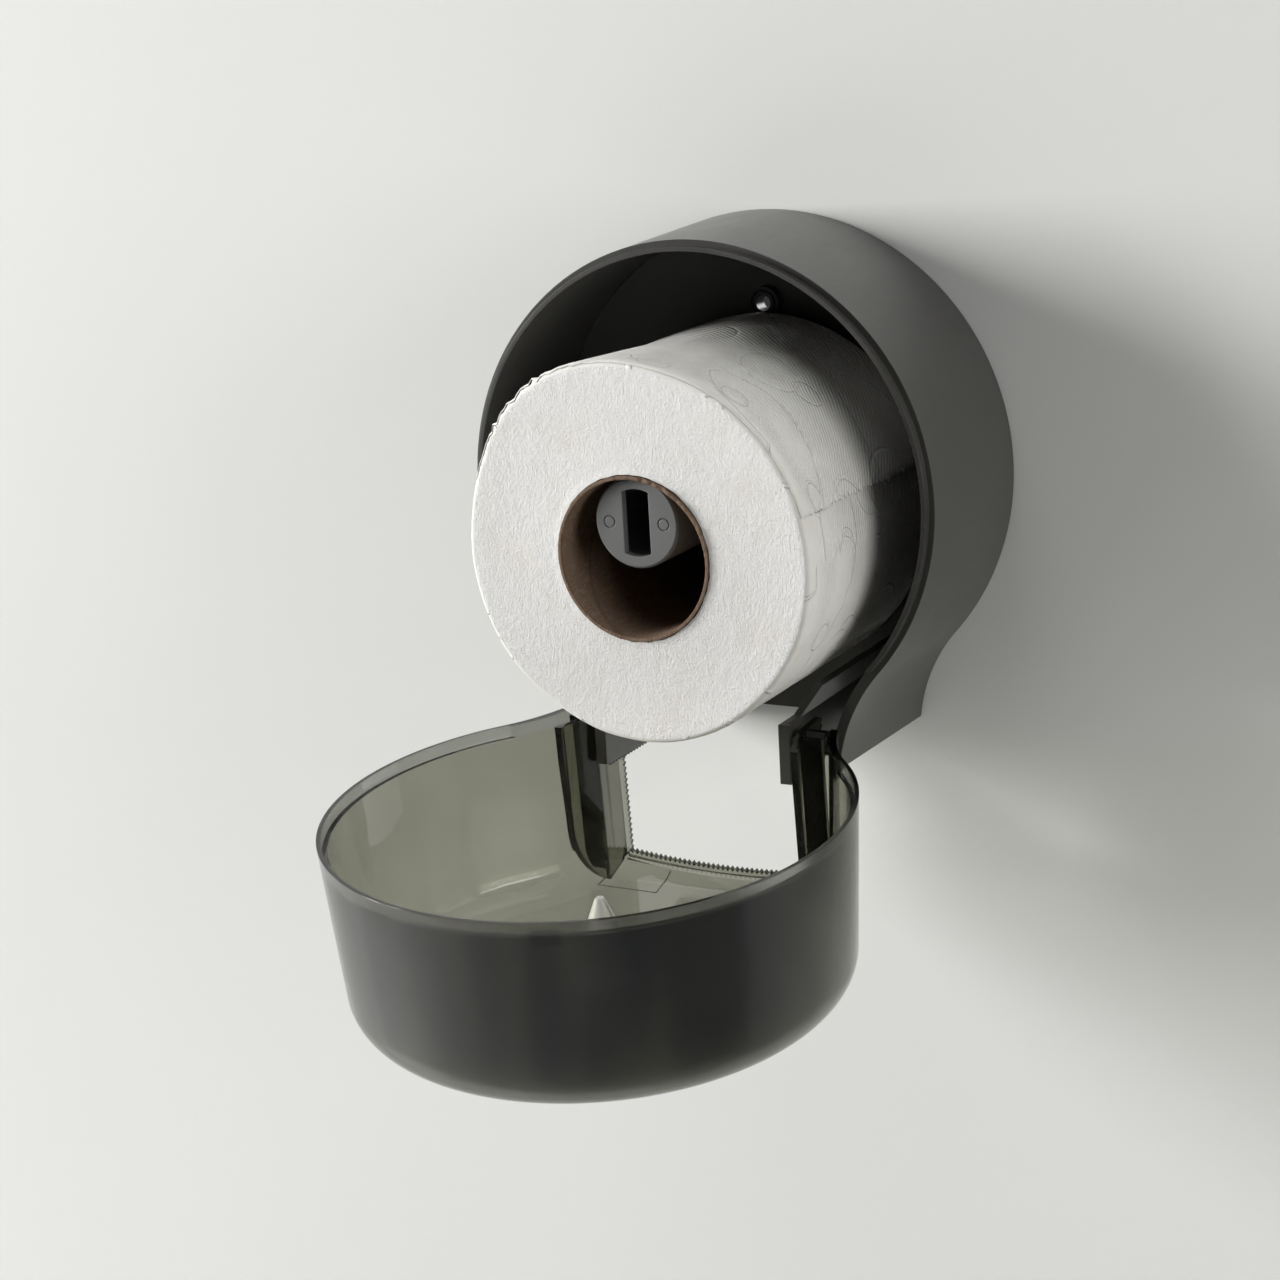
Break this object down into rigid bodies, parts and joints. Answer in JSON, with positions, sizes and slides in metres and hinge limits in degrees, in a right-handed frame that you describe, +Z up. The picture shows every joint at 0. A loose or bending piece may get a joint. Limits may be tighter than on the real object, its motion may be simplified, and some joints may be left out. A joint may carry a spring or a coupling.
{
  "type": "toilet roll dispenser",
  "caption": "Wall mounted round drum dispenser for one toilet roll, with a central spindle, a see-through cover hinged at the bottom with a serrated tear mouth, and a paper roll that turns",
  "frame": {"origin": "on the axis of the drum and its spindle, at the wall face of the housing", "axes": "+X to the right for someone facing the wall, +Y into the wall, +Z up"},
  "size_m": [0.15, 0.1988, 0.2031],
  "materials": {
    "housing": "matt",
    "spindle": "satin",
    "cover": "gloss",
    "catch": "satin",
    "nylon": "satin",
    "steel": "satin",
    "core": "matt",
    "paper": "matt"
  },
  "bodies": {
    "housing": {"housing_shell": "housing", "back_plate": "housing", "chute_left": "housing", "chute_right": "housing", "spindle": "spindle", "spindle_screw_left": "steel", "spindle_screw_right": "steel", "hinge_pin_left": "steel", "hinge_pin_right": "steel", "hinge_spacer_left": "nylon", "hinge_spacer_right": "nylon"},
    "cover": {"cover_shell": "cover", "fin_left": "cover", "fin_right": "cover", "tear_edge": "cover", "catch_base": "catch", "catch_stud": "catch", "rim_tab_left": "cover", "rim_tab_right": "cover"},
    "roll": {"core_tube": "core", "paper_roll": "paper"}
  },
  "joints": [
    {"name": "cover_hinge", "type": "hinge", "parent": "housing", "child": "cover", "pos_m": [0, -0.059, -0.0677], "axis": [-1, 0, 0], "range_deg": [0, 94]},
    {"name": "roll_spin", "type": "hinge", "parent": "housing", "child": "roll", "pos_m": [0, -0.05, -0.00935], "axis": [0, 1, 0], "continuous": true}
  ]
}
